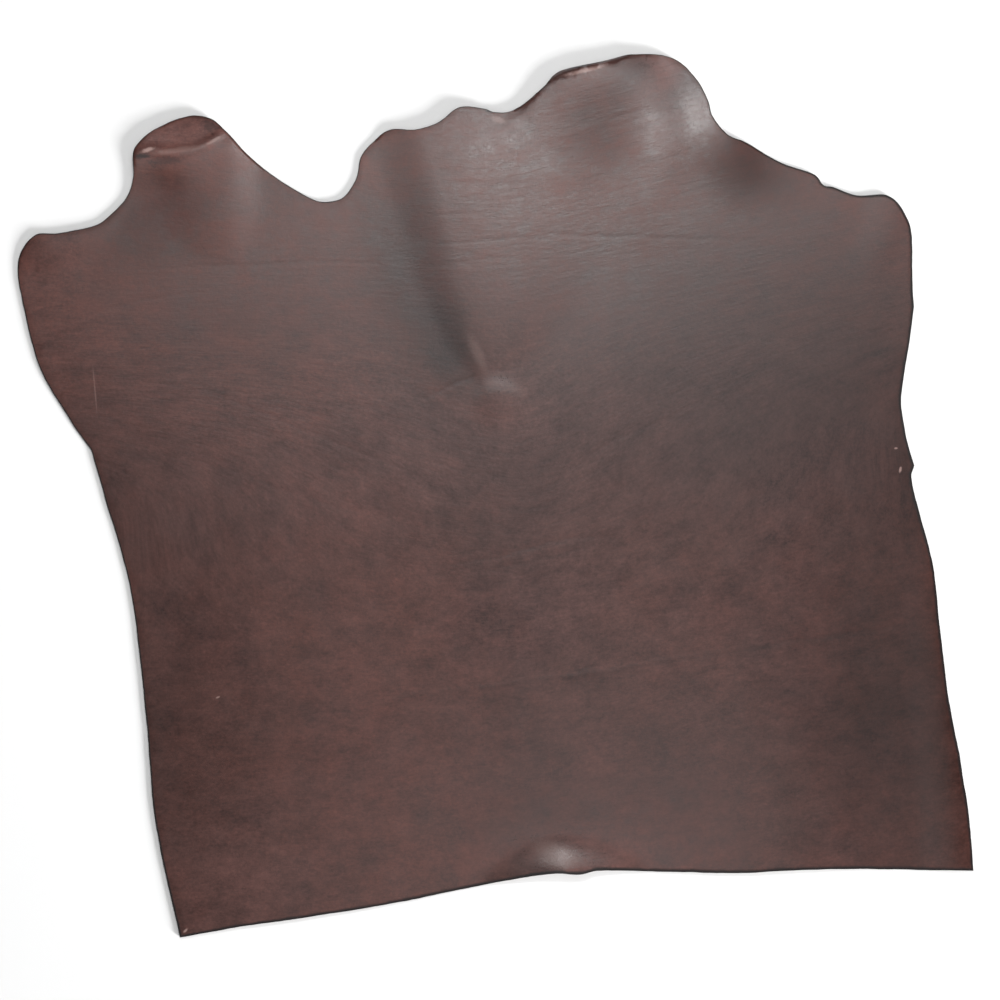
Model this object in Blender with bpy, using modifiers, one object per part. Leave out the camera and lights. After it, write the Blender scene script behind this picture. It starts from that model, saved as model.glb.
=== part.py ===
# A tanned cattle double shoulder: one sheet of leather lying grain side up on a flat surface.
# X runs across the hide, Y along its backbone from the straight butt cut to the neck, Z up.
# The underside lies at Z = 0 wherever no fold or swell lifts it.

from math import ceil, floor, pi, sqrt

import bpy
import numpy as np
from mathutils import Vector
from mathutils.geometry import delaunay_2d_cdt, interpolate_bezier

GAUGE = 0.003  # thickness of the leather, in metres
SETTLE = 0.0004  # the leather's own weight presses the feet of its folds flat by this much
RIM_STEP = 0.010  # spacing of the points along the cut edge
LATTICE_STEP = 0.0075  # spacing of the points inside it, where a tight fold bends the sheet
EDGE_CLEARANCE = 0.6  # share of the lattice step that is kept clear of points along the edge
# Where no flank shorter than this reach bends the sheet, only every so many-th lattice point is kept.
THINNING = ((0.045, 2), (0.090, 4), (0.180, 8))

LEATHER_COLOUR = (0.075, 0.036, 0.031, 1.0)
LEATHER_ROUGHNESS = 0.45

# The knife line round the hide, anticlockwise from above, in metres: across from the backbone and
# along it from the butt cut. A "corner" is a sharp turn, and the line flows through a "bend".
OUTLINE = (
    ("butt cut, left end", -0.489, -0.035, "corner"),
    ("butt cut", -0.417, -0.030, "bend"),
    ("butt cut", -0.236, -0.022, "bend"),
    ("butt cut", -0.115, -0.011, "bend"),
    ("butt buckle, left foot", -0.038, -0.005, "bend"),
    ("butt buckle", -0.012, -0.005, "bend"),
    ("butt buckle", 0.017, -0.009, "bend"),
    ("butt buckle, right foot", 0.039, -0.007, "bend"),
    ("butt cut", 0.107, -0.015, "bend"),
    ("butt cut", 0.204, -0.027, "bend"),
    ("butt cut", 0.300, -0.033, "bend"),
    ("butt cut", 0.377, -0.040, "bend"),
    ("butt cut, right end", 0.511, -0.056, "corner"),
    ("right side", 0.515, 0.012, "bend"),
    ("right side", 0.514, 0.083, "bend"),
    ("right side", 0.510, 0.157, "bend"),
    ("right side", 0.511, 0.242, "bend"),
    ("right side", 0.514, 0.335, "bend"),
    ("right side", 0.506, 0.402, "bend"),
    ("right nick", 0.502, 0.450, "bend"),
    ("right nick, tip", 0.508, 0.464, "corner"),
    ("right waist", 0.502, 0.513, "bend"),
    ("right waist", 0.504, 0.557, "bend"),
    ("right foreleg", 0.526, 0.634, "bend"),
    ("right foreleg", 0.537, 0.675, "corner"),
    ("right foreleg", 0.538, 0.696, "bend"),
    ("right foreleg", 0.546, 0.761, "bend"),
    ("right foreleg, outer corner", 0.545, 0.793, "bend"),
    ("right foreleg, inner corner", 0.524, 0.828, "bend"),
    ("right shoulder", 0.482, 0.833, "bend"),
    ("right shoulder, step", 0.451, 0.848, "bend"),
    ("right shoulder, step", 0.440, 0.851, "bend"),
    ("right shoulder, step", 0.430, 0.867, "bend"),
    ("right shoulder", 0.385, 0.890, "bend"),
    ("right shoulder", 0.343, 0.921, "bend"),
    ("neck, right foot", 0.320, 0.933, "bend"),
    ("neck, right side", 0.303, 0.962, "bend"),
    ("neck, right side", 0.300, 0.982, "bend"),
    ("neck, right side", 0.288, 1.016, "bend"),
    ("neck lobe", 0.261, 1.047, "bend"),
    ("neck lobe", 0.212, 1.057, "bend"),
    ("neck lobe", 0.152, 1.049, "bend"),
    ("neck, curled lip", 0.108, 1.046, "bend"),
    ("neck edge", 0.084, 1.025, "bend"),
    ("neck edge", 0.057, 1.006, "bend"),
    ("neck edge", 0.031, 0.995, "bend"),
    ("neck buckle, right foot", 0.011, 0.997, "bend"),
    ("neck buckle", 0.002, 1.002, "bend"),
    ("neck buckle", -0.032, 1.008, "bend"),
    ("neck buckle, left foot", -0.062, 0.990, "bend"),
    ("neck edge", -0.094, 0.983, "bend"),
    ("neck edge", -0.130, 0.987, "bend"),
    ("neck, left shoulder", -0.155, 0.971, "bend"),
    ("neck, left shoulder", -0.171, 0.954, "bend"),
    ("armpit notch", -0.180, 0.925, "bend"),
    ("armpit notch", -0.199, 0.901, "bend"),
    ("armpit notch", -0.220, 0.897, "bend"),
    ("armpit notch", -0.239, 0.902, "bend"),
    ("left foreleg, inner side", -0.279, 0.931, "bend"),
    ("left foreleg, inner side", -0.320, 0.971, "bend"),
    ("left foreleg, inner side", -0.347, 1.006, "bend"),
    ("left foreleg, tip", -0.365, 1.026, "bend"),
    ("left foreleg, tip", -0.394, 1.033, "bend"),
    ("left foreleg, tip", -0.444, 1.018, "bend"),
    ("left foreleg, tip", -0.467, 1.000, "bend"),
    ("left foreleg, pinch", -0.473, 0.989, "bend"),
    ("left foreleg, outer side", -0.475, 0.957, "bend"),
    ("left foreleg, outer side", -0.486, 0.932, "bend"),
    ("left foreleg, outer side", -0.504, 0.913, "bend"),
    ("left flank, top", -0.531, 0.896, "bend"),
    ("left flank, top", -0.581, 0.890, "bend"),
    ("left flank, corner", -0.612, 0.890, "bend"),
    ("left flank, corner", -0.636, 0.857, "bend"),
    ("left flank", -0.634, 0.805, "bend"),
    ("left flank", -0.617, 0.712, "bend"),
    ("left flank", -0.578, 0.630, "bend"),
    ("left flank, foot", -0.557, 0.594, "corner"),
    ("left side", -0.546, 0.541, "bend"),
    ("left side", -0.521, 0.420, "bend"),
    ("left side", -0.513, 0.306, "bend"),
    ("left side", -0.511, 0.223, "bend"),
    ("left side", -0.509, 0.108, "bend"),
)

# Each fold is a ridge along a crest. A row is one section of it, in metres: the crest's place across
# and along, how far its left and its right flank reach (left as seen looking on along the crest),
# and how high the crest lifts the sheet.
FOLDS = {
    "neck buckle": (
        (-0.034, 0.618, 0.016, 0.039, 0.0003),
        (-0.042, 0.682, 0.065, 0.208, 0.0022),
        (-0.053, 0.764, 0.091, 0.325, 0.004),
        (-0.064, 0.861, 0.104, 0.377, 0.0054),
        (-0.080, 0.959, 0.104, 0.390, 0.0062),
        (-0.091, 1.037, 0.109, 0.390, 0.0066),
    ),
    "buckle tip": (
        (-0.062, 0.605, 0.029, 0.052, 0.0001),
        (-0.035, 0.614, 0.039, 0.078, 0.0017),
        (-0.011, 0.614, 0.039, 0.091, 0.0015),
        (0.019, 0.602, 0.034, 0.078, 0.0001),
    ),
    "neck lip": (
        (0.049, 0.986, 0.018, 0.104, 0.0008),
        (0.097, 1.032, 0.012, 0.130, 0.0056),
        (0.139, 1.044, 0.012, 0.149, 0.0084),
        (0.191, 1.050, 0.018, 0.137, 0.0082),
        (0.232, 1.071, 0.023, 0.091, 0.003),
    ),
    "neck pleat": (
        (0.231, 0.853, 0.078, 0.070, 0.0001),
        (0.236, 0.907, 0.083, 0.070, 0.0016),
        (0.241, 0.976, 0.083, 0.070, 0.0024),
        (0.244, 1.033, 0.078, 0.065, 0.0022),
        (0.240, 1.076, 0.070, 0.057, 0.0015),
    ),
    "neck right edge": (
        (0.321, 0.821, 0.078, 0.065, 0.0001),
        (0.321, 0.859, 0.091, 0.078, 0.0016),
        (0.318, 0.911, 0.104, 0.083, 0.005),
        (0.318, 0.984, 0.104, 0.044, 0.0064),
        (0.311, 1.030, 0.099, 0.029, 0.005),
        (0.291, 1.070, 0.091, 0.026, 0.003),
    ),
    "right foreleg": (
        (0.475, 0.690, 0.065, 0.065, 0.0001),
        (0.502, 0.755, 0.078, 0.065, 0.0012),
        (0.533, 0.828, 0.078, 0.065, 0.0016),
    ),
    "foreleg root": (
        (-0.365, 0.818, 0.091, 0.052, 0.0001),
        (-0.360, 0.874, 0.143, 0.078, 0.0026),
        (-0.354, 0.931, 0.156, 0.081, 0.0046),
        (-0.347, 0.983, 0.143, 0.073, 0.0048),
    ),
    "left foreleg": (
        (-0.497, 0.971, 0.156, 0.086, 0.0042),
        (-0.452, 0.988, 0.234, 0.086, 0.0058),
        (-0.408, 0.982, 0.260, 0.086, 0.005),
        (-0.361, 0.994, 0.208, 0.078, 0.003),
        (-0.317, 0.982, 0.117, 0.065, 0.0001),
    ),
    "left foreleg pleat": (
        (-0.470, 0.989, 0.013, 0.013, 0.0001),
        (-0.452, 0.991, 0.016, 0.016, 0.001),
        (-0.418, 0.984, 0.018, 0.018, 0.001),
        (-0.389, 0.985, 0.017, 0.017, 0.0009),
        (-0.367, 0.995, 0.014, 0.016, 0.001),
        (-0.345, 1.007, 0.013, 0.013, 0.0004),
    ),
    "left flank corner": (
        (-0.639, 0.846, 0.039, 0.039, 0.0001),
        (-0.610, 0.878, 0.091, 0.091, 0.0022),
        (-0.565, 0.882, 0.091, 0.078, 0.0022),
        (-0.524, 0.894, 0.065, 0.065, 0.0012),
        (-0.488, 0.918, 0.026, 0.026, 0.0001),
    ),
    "butt buckle": (
        (-0.110, -0.021, 0.044, 0.039, 0.0001),
        (-0.046, -0.014, 0.070, 0.047, 0.009),
        (-0.006, -0.014, 0.078, 0.057, 0.014),
        (0.031, -0.018, 0.073, 0.052, 0.011),
        (0.107, -0.028, 0.044, 0.039, 0.0001),
    ),
    "left swell": (
        (-0.351, -0.040, 0.260, 0.338, 0.0035),
        (-0.332, 0.322, 0.247, 0.312, 0.0032),
        (-0.332, 0.611, 0.156, 0.234, 0.0002),
    ),
    "right swell": (
        (0.257, -0.065, 0.312, 0.247, 0.0045),
        (0.276, 0.285, 0.299, 0.234, 0.004),
        (0.293, 0.573, 0.182, 0.169, 0.0002),
    ),
    "right side": (
        (0.486, -0.065, 0.078, 0.052, 0.0025),
        (0.496, 0.160, 0.071, 0.052, 0.002),
        (0.506, 0.418, 0.052, 0.039, 0.0002),
    ),
}


def clear_scene():
    for obj in list(bpy.data.objects):
        bpy.data.objects.remove(obj, do_unlink=True)


def outline_points(step):
    """The knife line as points about one step apart, with the handles of a smooth Bezier curve."""
    knots = [Vector((across, along, 0)) for _, across, along, _ in OUTLINE]
    corners = [turn == "corner" for *_, turn in OUTLINE]
    count = len(knots)

    def handle(at, towards):
        """A third of the way to the next knot: straight at it from a corner, along the flow at a bend."""
        reach = (knots[towards % count] - knots[at]).length / 3
        if corners[at]:
            return knots[at] + (knots[towards % count] - knots[at]).normalized() * reach
        flow = (knots[(at + 1) % count] - knots[at - 1]).normalized()
        return knots[at] + flow * (reach if towards == at + 1 else -reach)

    points = []
    for at in range(count):
        after = (at + 1) % count
        pieces = ceil((knots[after] - knots[at]).length / step)
        arriving = handle(after, after - 1)
        points += interpolate_bezier(knots[at], handle(at, at + 1), arriving, knots[after], pieces + 1)[:-1]
    return np.array([point[:2] for point in points])


def flowing(stations, rows, at):
    """The rows' values at other stations, on a cubic curve that passes smoothly through every row."""
    slopes = np.gradient(rows, stations, axis=0)
    at = np.clip(at, stations[0], stations[-1])
    before = np.clip(np.searchsorted(stations, at) - 1, 0, len(stations) - 2)
    span = (stations[before + 1] - stations[before])[:, None]
    share = (at - stations[before])[:, None] / span
    ease = share * share * (3 - 2 * share)
    value = rows[before] + (rows[before + 1] - rows[before]) * ease
    value += slopes[before] * span * share * (1 - share) ** 2
    return value - slopes[before + 1] * span * share * share * (1 - share)


def drape(places):
    """How high the folds lift the sheet at each place, and the shortest flank that bends it there."""
    lift = np.zeros(len(places))
    tightest = np.full(len(places), np.inf)
    for rows in FOLDS.values():
        rows = np.array(rows)
        foot, tip = rows[0, :2], rows[-1, :2]
        along = (tip - foot) / np.hypot(*(tip - foot))
        leftward = np.array([-along[1], along[0]])
        stations = (rows[:, :2] - foot) @ along
        sections = np.column_stack([(rows[:, :2] - foot) @ leftward, rows[:, 2:]])
        at = (places - foot) @ along
        crest, left, right, rise = flowing(stations, sections, at).T
        sideways = (places - foot) @ leftward - crest
        flank = np.where(sideways > 0, left, right)
        beyond = (at - np.clip(at, stations[0], stations[-1])) / ((left + right) / 2)
        distance = np.hypot(sideways / flank, beyond)
        lift += rise * np.cos(pi / 2 * np.minimum(distance, 1)) ** 4
        tightest = np.where(distance < 1, np.minimum(tightest, flank), tightest)
    settled = np.where(lift < 2 * SETTLE, lift * lift / (4 * SETTLE), lift - SETTLE)
    return settled, tightest


def inside(places, rim):
    """Which places lie within the closed line of rim points."""
    crossings = np.zeros(len(places), int)
    for start, end in zip(rim, np.roll(rim, -1, axis=0)):
        spans = (start[1] > places[:, 1]) != (end[1] > places[:, 1])
        rise = end[1] - start[1] or 1.0
        meets = start[0] + (places[:, 1] - start[1]) * (end[0] - start[0]) / rise
        crossings += spans & (places[:, 0] < meets)
    return crossings % 2 == 1


def lattice_points(rim):
    """Places inside the rim on a triangular lattice, thinned out where the sheet is flat or bends gently."""
    row_step = LATTICE_STEP * sqrt(3) / 2
    low, high = rim.min(axis=0), rim.max(axis=0)
    rows = np.arange(floor(low[1] / row_step), ceil(high[1] / row_step) + 1)
    first = floor(low[0] / LATTICE_STEP - rows.max() / 2)
    last = ceil(high[0] / LATTICE_STEP - rows.min() / 2)
    row, column = (grid.ravel() for grid in np.meshgrid(rows, np.arange(first, last + 1)))
    places = np.column_stack([(column + row / 2) * LATTICE_STEP, row * row_step])

    _, tightest = drape(places)
    kept = inside(places, rim)
    for reach, every in THINNING:
        kept &= (tightest < reach) | ((row % every == 0) & (column % every == 0))
    places = places[kept]
    to_rim = np.min(np.hypot(*(places[:, None] - rim[None]).transpose(2, 0, 1)), axis=1)
    return places[to_rim > LATTICE_STEP * EDGE_CLEARANCE]


def leather_material():
    material = bpy.data.materials.new("brown_leather")
    material.use_nodes = True
    shader = material.node_tree.nodes["Principled BSDF"]
    shader.inputs["Base Color"].default_value = LEATHER_COLOUR
    shader.inputs["Roughness"].default_value = LEATHER_ROUGHNESS
    shader.inputs["Metallic"].default_value = 0.0
    material.diffuse_color = LEATHER_COLOUR
    return material


def make_hide(collection):
    """One open sheet, cut to the outline and lifted by its folds, with the leather's gauge added above it."""
    rim = outline_points(RIM_STEP)
    places = np.vstack([rim, lattice_points(rim)])
    rim_edges = [(at, (at + 1) % len(rim)) for at in range(len(rim))]
    corners, _, faces, *_ = delaunay_2d_cdt([Vector(place) for place in places], rim_edges, [], 1, 1e-6)
    corners = np.array(corners)
    lift, _ = drape(corners)
    centre = (rim.min(axis=0) + rim.max(axis=0)) / 2
    points = np.column_stack([corners - centre, lift])

    mesh = bpy.data.meshes.new("hide")
    mesh.from_pydata(points.tolist(), [], faces)
    mesh.shade_smooth()
    mesh.materials.append(leather_material())
    hide = bpy.data.objects.new("hide", mesh)
    collection.objects.link(hide)

    gauge = hide.modifiers.new("gauge", "SOLIDIFY")
    gauge.thickness = GAUGE
    gauge.offset = 1.0
    gauge.use_even_offset = True
    gauge.use_quality_normals = True
    return hide


def main():
    clear_scene()
    collection = bpy.data.collections.new("leather_hide")
    bpy.context.scene.collection.children.link(collection)
    make_hide(collection)


main()
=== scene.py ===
# A tanned cattle double shoulder lying grain side up: its sheet, finishes, floor, lights and camera.
from math import ceil, cos, floor, pi, radians, sin, sqrt

import bpy
import numpy as np
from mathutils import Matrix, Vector, noise
from mathutils.geometry import delaunay_2d_cdt, interpolate_bezier


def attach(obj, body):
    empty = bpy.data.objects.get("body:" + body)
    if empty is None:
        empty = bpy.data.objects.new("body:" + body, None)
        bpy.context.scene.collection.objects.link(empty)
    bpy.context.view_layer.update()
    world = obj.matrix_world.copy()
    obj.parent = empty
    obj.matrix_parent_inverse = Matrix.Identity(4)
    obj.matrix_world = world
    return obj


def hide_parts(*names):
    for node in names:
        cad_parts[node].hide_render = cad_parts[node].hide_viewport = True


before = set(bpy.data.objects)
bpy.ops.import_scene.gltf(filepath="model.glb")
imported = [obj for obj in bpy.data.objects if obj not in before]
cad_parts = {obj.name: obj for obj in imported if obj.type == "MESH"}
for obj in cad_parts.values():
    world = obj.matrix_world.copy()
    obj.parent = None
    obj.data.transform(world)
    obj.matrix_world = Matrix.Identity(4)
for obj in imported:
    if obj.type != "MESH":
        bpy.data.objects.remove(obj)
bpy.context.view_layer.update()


class Field:  # a socket's value, ready for sums: roughness = 0.4 + grain * 0.1
    def __init__(self, shader, socket):
        self.shader = shader
        self.socket = socket

    def maths(self, operation, *values):
        return self.shader.node("ShaderNodeMath", {"operation": operation}, dict(enumerate(values)))

    def __add__(self, other):
        return self.maths("ADD", self, other)

    def __sub__(self, other):
        return self.maths("SUBTRACT", self, other)

    def __rsub__(self, other):
        return self.maths("SUBTRACT", other, self)

    def __mul__(self, other):
        return self.maths("MULTIPLY", self, other)

    def __truediv__(self, other):
        return self.maths("DIVIDE", self, other)

    def __rtruediv__(self, other):
        return self.maths("DIVIDE", other, self)

    __radd__ = __add__
    __rmul__ = __mul__

    def held(self, low=0.0, high=1.0):
        return self.maths("MINIMUM", self.maths("MAXIMUM", self, low), high)

    def ease(self, low, high):  # 0 at low and 1 at high, with soft ends
        sockets = {"Value": self, "From Min": low, "From Max": high}
        return self.shader.node("ShaderNodeMapRange", {"interpolation_type": "SMOOTHSTEP"}, sockets)


class Shader:  # the node tree of one material, or of the air round the part
    def __init__(self, owner):
        self.owner = owner
        owner.use_nodes = True
        self.tree = owner.node_tree
        self.tree.nodes.clear()

    def node(self, kind, settings=None, sockets=None, output=0):
        made = self.tree.nodes.new(kind)
        for name, value in (settings or {}).items():
            setattr(made, name, value)
        for name, value in (sockets or {}).items():
            if isinstance(value, Field):
                self.tree.links.new(value.socket, made.inputs[name])
            else:
                made.inputs[name].default_value = value
        return Field(self, made.outputs[output]) if made.outputs else made

    def painted(self, name):  # a number kept at the sheet's points
        return self.node("ShaderNodeAttribute", {"attribute_name": name}, output="Fac")

    def cloud(self, place, scale, detail=3.0, roughness=0.5):
        sockets = {"Vector": place, "Scale": scale, "Detail": detail, "Roughness": roughness}
        return self.node("ShaderNodeTexNoise", None, sockets)

    def blend(self, share, first, second):  # colours
        sides = [side if isinstance(side, Field) else (*side, 1.0) for side in (first, second)]
        return self.node("ShaderNodeMix", {"data_type": "RGBA"}, {0: share, 6: sides[0], 7: sides[1]}, 2)

    def shade(self, share, colour):  # a colour made paler or darker
        return self.node("ShaderNodeVectorMath", {"operation": "SCALE"}, {0: colour, "Scale": share})

    def bump(self, millimetres):
        sockets = {"Height": millimetres, "Strength": 1.0, "Distance": 0.001}
        return self.node("ShaderNodeBump", None, sockets)

    def finish(self, sockets):
        surface = self.node("ShaderNodeBsdfPrincipled", None, sockets)
        self.node("ShaderNodeOutputMaterial", None, {"Surface": surface})
        return self.owner


def newMaterial(name, look):
    material = bpy.data.materials.new(name)
    material.diffuse_color = (*look, 1.0)
    return Shader(material)


hide = {
    "gauge": 0.003,  # thickness, in metres as every length here
    "settle": 0.0004,  # the feet of the folds lie pressed flat by this much
    "rimStep": 0.004,  # spacing of the points along the knife line
    "latticeStep": 0.003,  # and inside it, in the tightest folds and creases
    "thinning": ((0.036, 2), (0.130, 4)),  # flanks this long need only every second or fourth point
    "rimBand": 0.004,  # a row of points this far in follows the knife line
    "bandKept": 0.9,  # of that row, a point nearer another stretch of rim than this share is left out
    "edgeClearance": 0.6,  # share of the lattice step kept clear inside that row
    "slopeStep": 0.002,  # slopes are read over this much to either side
    "seeds": {"waver": 3.0, "unevenness": 7.0, "wander": (11.0, 17.0)},
    "waver": ((28.0, 0.0007), (110.0, 0.0003)),  # how the knife strayed: waves a metre, and reach
    "wander": ((9.0, 0.0050), (36.0, 0.0020), (120.0, 0.0007)),  # the same for the creases
    "unevenness": ((9.0, 0.00012), (45.0, 0.00005)),  # the gauge varies: waves a metre, and depth
    "pressedEdge": (0.004, 0.00025),  # how far in the cut edge is pressed down, and by how much
    "chamfer": 0.0004,  # the rubbed top corner of the cut edge
    "sharpAngle": 40,  # degrees
}

# Anticlockwise from above: place, across from the backbone, along it from the butt cut, and the turn.
knifeLine = (
    ("butt cut, left end", -0.489, -0.035, "corner"),
    ("butt cut", -0.417, -0.030, "bend"),
    ("butt cut", -0.236, -0.022, "bend"),
    ("butt cut", -0.115, -0.011, "bend"),
    ("butt buckle, left foot", -0.038, -0.005, "bend"),
    ("butt buckle", -0.012, -0.005, "bend"),
    ("butt buckle", 0.017, -0.009, "bend"),
    ("butt buckle, right foot", 0.039, -0.007, "bend"),
    ("butt cut", 0.107, -0.015, "bend"),
    ("butt cut", 0.204, -0.027, "bend"),
    ("butt cut", 0.300, -0.033, "bend"),
    ("butt cut", 0.377, -0.040, "bend"),
    ("butt cut, right end", 0.511, -0.056, "corner"),
    ("right side", 0.515, 0.012, "bend"),
    ("right side", 0.514, 0.083, "bend"),
    ("right side", 0.510, 0.157, "bend"),
    ("right side", 0.511, 0.242, "bend"),
    ("right side", 0.514, 0.335, "bend"),
    ("right side", 0.506, 0.402, "bend"),
    ("right nick", 0.502, 0.450, "bend"),
    ("right nick, tip", 0.508, 0.464, "corner"),
    ("right waist", 0.502, 0.513, "bend"),
    ("right waist", 0.504, 0.557, "bend"),
    ("right foreleg", 0.526, 0.634, "bend"),
    ("right foreleg", 0.537, 0.675, "corner"),
    ("right foreleg", 0.538, 0.696, "bend"),
    ("right foreleg", 0.546, 0.761, "bend"),
    ("right foreleg, outer corner", 0.545, 0.793, "bend"),
    ("right foreleg, inner corner", 0.524, 0.828, "bend"),
    ("right shoulder", 0.482, 0.833, "bend"),
    ("right shoulder, step", 0.451, 0.848, "bend"),
    ("right shoulder, step", 0.440, 0.851, "bend"),
    ("right shoulder, step", 0.430, 0.867, "bend"),
    ("right shoulder", 0.385, 0.890, "bend"),
    ("right shoulder", 0.343, 0.921, "bend"),
    ("neck, right foot", 0.320, 0.933, "bend"),
    ("neck, right side", 0.303, 0.962, "bend"),
    ("neck, right side", 0.300, 0.982, "bend"),
    ("neck, right side", 0.288, 1.016, "bend"),
    ("neck lobe", 0.261, 1.047, "bend"),
    ("neck lobe", 0.212, 1.057, "bend"),
    ("neck lobe", 0.152, 1.049, "bend"),
    ("neck, curled lip", 0.108, 1.046, "bend"),
    ("neck edge", 0.084, 1.025, "bend"),
    ("neck edge", 0.057, 1.006, "bend"),
    ("neck edge", 0.031, 0.995, "bend"),
    ("neck buckle, right foot", 0.011, 0.997, "bend"),
    ("neck buckle", 0.002, 1.002, "bend"),
    ("neck buckle", -0.032, 1.008, "bend"),
    ("neck buckle, left foot", -0.062, 0.990, "bend"),
    ("neck edge", -0.094, 0.983, "bend"),
    ("neck edge", -0.130, 0.987, "bend"),
    ("neck, left shoulder", -0.155, 0.971, "bend"),
    ("neck, left shoulder", -0.171, 0.954, "bend"),
    ("armpit notch", -0.180, 0.925, "bend"),
    ("armpit notch", -0.199, 0.901, "bend"),
    ("armpit notch", -0.220, 0.897, "bend"),
    ("armpit notch", -0.239, 0.902, "bend"),
    ("left foreleg, inner side", -0.279, 0.931, "bend"),
    ("left foreleg, inner side", -0.320, 0.971, "bend"),
    ("left foreleg, inner side", -0.347, 1.006, "bend"),
    ("left foreleg, tip", -0.365, 1.026, "bend"),
    ("left foreleg, tip", -0.394, 1.033, "bend"),
    ("left foreleg, tip", -0.444, 1.018, "bend"),
    ("left foreleg, tip", -0.467, 1.000, "bend"),
    ("left foreleg, pinch", -0.473, 0.989, "bend"),
    ("left foreleg, outer side", -0.475, 0.957, "bend"),
    ("left foreleg, outer side", -0.486, 0.932, "bend"),
    ("left foreleg, outer side", -0.504, 0.913, "bend"),
    ("left flank, top", -0.531, 0.896, "bend"),
    ("left flank, top", -0.581, 0.890, "bend"),
    ("left flank, corner", -0.612, 0.890, "bend"),
    ("left flank, corner", -0.636, 0.857, "bend"),
    ("left flank", -0.634, 0.805, "bend"),
    ("left flank", -0.617, 0.712, "bend"),
    ("left flank", -0.578, 0.630, "bend"),
    ("left flank, foot", -0.557, 0.594, "corner"),
    ("left side", -0.546, 0.541, "bend"),
    ("left side", -0.521, 0.420, "bend"),
    ("left side", -0.513, 0.306, "bend"),
    ("left side", -0.511, 0.223, "bend"),
    ("left side", -0.509, 0.108, "bend"),
)

# Each fold is a ridge along a crest, with a row for each section: across, along, how far its left and
# its right flank reach, looking on along the crest, and how high it lifts the sheet.
folds = {
    "neck buckle": (
        (-0.034, 0.618, 0.016, 0.039, 0.0003),
        (-0.042, 0.682, 0.065, 0.208, 0.0022),
        (-0.053, 0.764, 0.091, 0.325, 0.004),
        (-0.064, 0.861, 0.104, 0.377, 0.0054),
        (-0.080, 0.959, 0.104, 0.390, 0.0062),
        (-0.091, 1.037, 0.109, 0.390, 0.0066),
    ),
    "buckle tip": (
        (-0.062, 0.605, 0.029, 0.052, 0.0001),
        (-0.035, 0.614, 0.039, 0.078, 0.0017),
        (-0.011, 0.614, 0.039, 0.091, 0.0015),
        (0.019, 0.602, 0.034, 0.078, 0.0001),
    ),
    "neck lip": (
        (0.049, 0.986, 0.018, 0.104, 0.0008),
        (0.097, 1.032, 0.012, 0.130, 0.0056),
        (0.139, 1.044, 0.012, 0.149, 0.0084),
        (0.191, 1.050, 0.018, 0.137, 0.0082),
        (0.232, 1.071, 0.023, 0.091, 0.003),
    ),
    "neck pleat": (
        (0.231, 0.853, 0.078, 0.070, 0.0001),
        (0.236, 0.907, 0.083, 0.070, 0.0016),
        (0.241, 0.976, 0.083, 0.070, 0.0024),
        (0.244, 1.033, 0.078, 0.065, 0.0022),
        (0.240, 1.076, 0.070, 0.057, 0.0015),
    ),
    "neck right edge": (
        (0.321, 0.821, 0.078, 0.065, 0.0001),
        (0.321, 0.859, 0.091, 0.078, 0.0016),
        (0.318, 0.911, 0.104, 0.083, 0.005),
        (0.318, 0.984, 0.104, 0.044, 0.0064),
        (0.311, 1.030, 0.099, 0.029, 0.005),
        (0.291, 1.070, 0.091, 0.026, 0.003),
    ),
    "right foreleg": (
        (0.475, 0.690, 0.065, 0.065, 0.0001),
        (0.502, 0.755, 0.078, 0.065, 0.0012),
        (0.533, 0.828, 0.078, 0.065, 0.0016),
    ),
    "foreleg root": (
        (-0.365, 0.818, 0.091, 0.052, 0.0001),
        (-0.360, 0.874, 0.143, 0.078, 0.0026),
        (-0.354, 0.931, 0.156, 0.081, 0.0046),
        (-0.347, 0.983, 0.143, 0.073, 0.0048),
    ),
    "left foreleg": (
        (-0.497, 0.971, 0.156, 0.086, 0.0042),
        (-0.452, 0.988, 0.234, 0.086, 0.0058),
        (-0.408, 0.982, 0.260, 0.086, 0.005),
        (-0.361, 0.994, 0.208, 0.078, 0.003),
        (-0.317, 0.982, 0.117, 0.065, 0.0001),
    ),
    "left foreleg pleat": (
        (-0.470, 0.989, 0.013, 0.013, 0.0001),
        (-0.452, 0.991, 0.016, 0.016, 0.001),
        (-0.418, 0.984, 0.018, 0.018, 0.001),
        (-0.389, 0.985, 0.017, 0.017, 0.0009),
        (-0.367, 0.995, 0.014, 0.016, 0.001),
        (-0.345, 1.007, 0.013, 0.013, 0.0004),
    ),
    "left flank corner": (
        (-0.639, 0.846, 0.039, 0.039, 0.0001),
        (-0.610, 0.878, 0.091, 0.091, 0.0022),
        (-0.565, 0.882, 0.091, 0.078, 0.0022),
        (-0.524, 0.894, 0.065, 0.065, 0.0012),
        (-0.488, 0.918, 0.026, 0.026, 0.0001),
    ),
    "butt buckle": (
        (-0.110, -0.021, 0.044, 0.039, 0.0001),
        (-0.046, -0.014, 0.070, 0.047, 0.009),
        (-0.006, -0.014, 0.078, 0.057, 0.014),
        (0.031, -0.018, 0.073, 0.052, 0.011),
        (0.107, -0.028, 0.044, 0.039, 0.0001),
    ),
    "left swell": (
        (-0.351, -0.040, 0.260, 0.338, 0.0035),
        (-0.332, 0.322, 0.247, 0.312, 0.0032),
        (-0.332, 0.611, 0.156, 0.234, 0.0002),
    ),
    "right swell": (
        (0.257, -0.065, 0.312, 0.247, 0.0045),
        (0.276, 0.285, 0.299, 0.234, 0.004),
        (0.293, 0.573, 0.182, 0.169, 0.0002),
    ),
    "right side": (
        (0.486, -0.065, 0.078, 0.052, 0.0025),
        (0.496, 0.160, 0.071, 0.052, 0.002),
        (0.506, 0.418, 0.052, 0.039, 0.0002),
    ),
}

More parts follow.
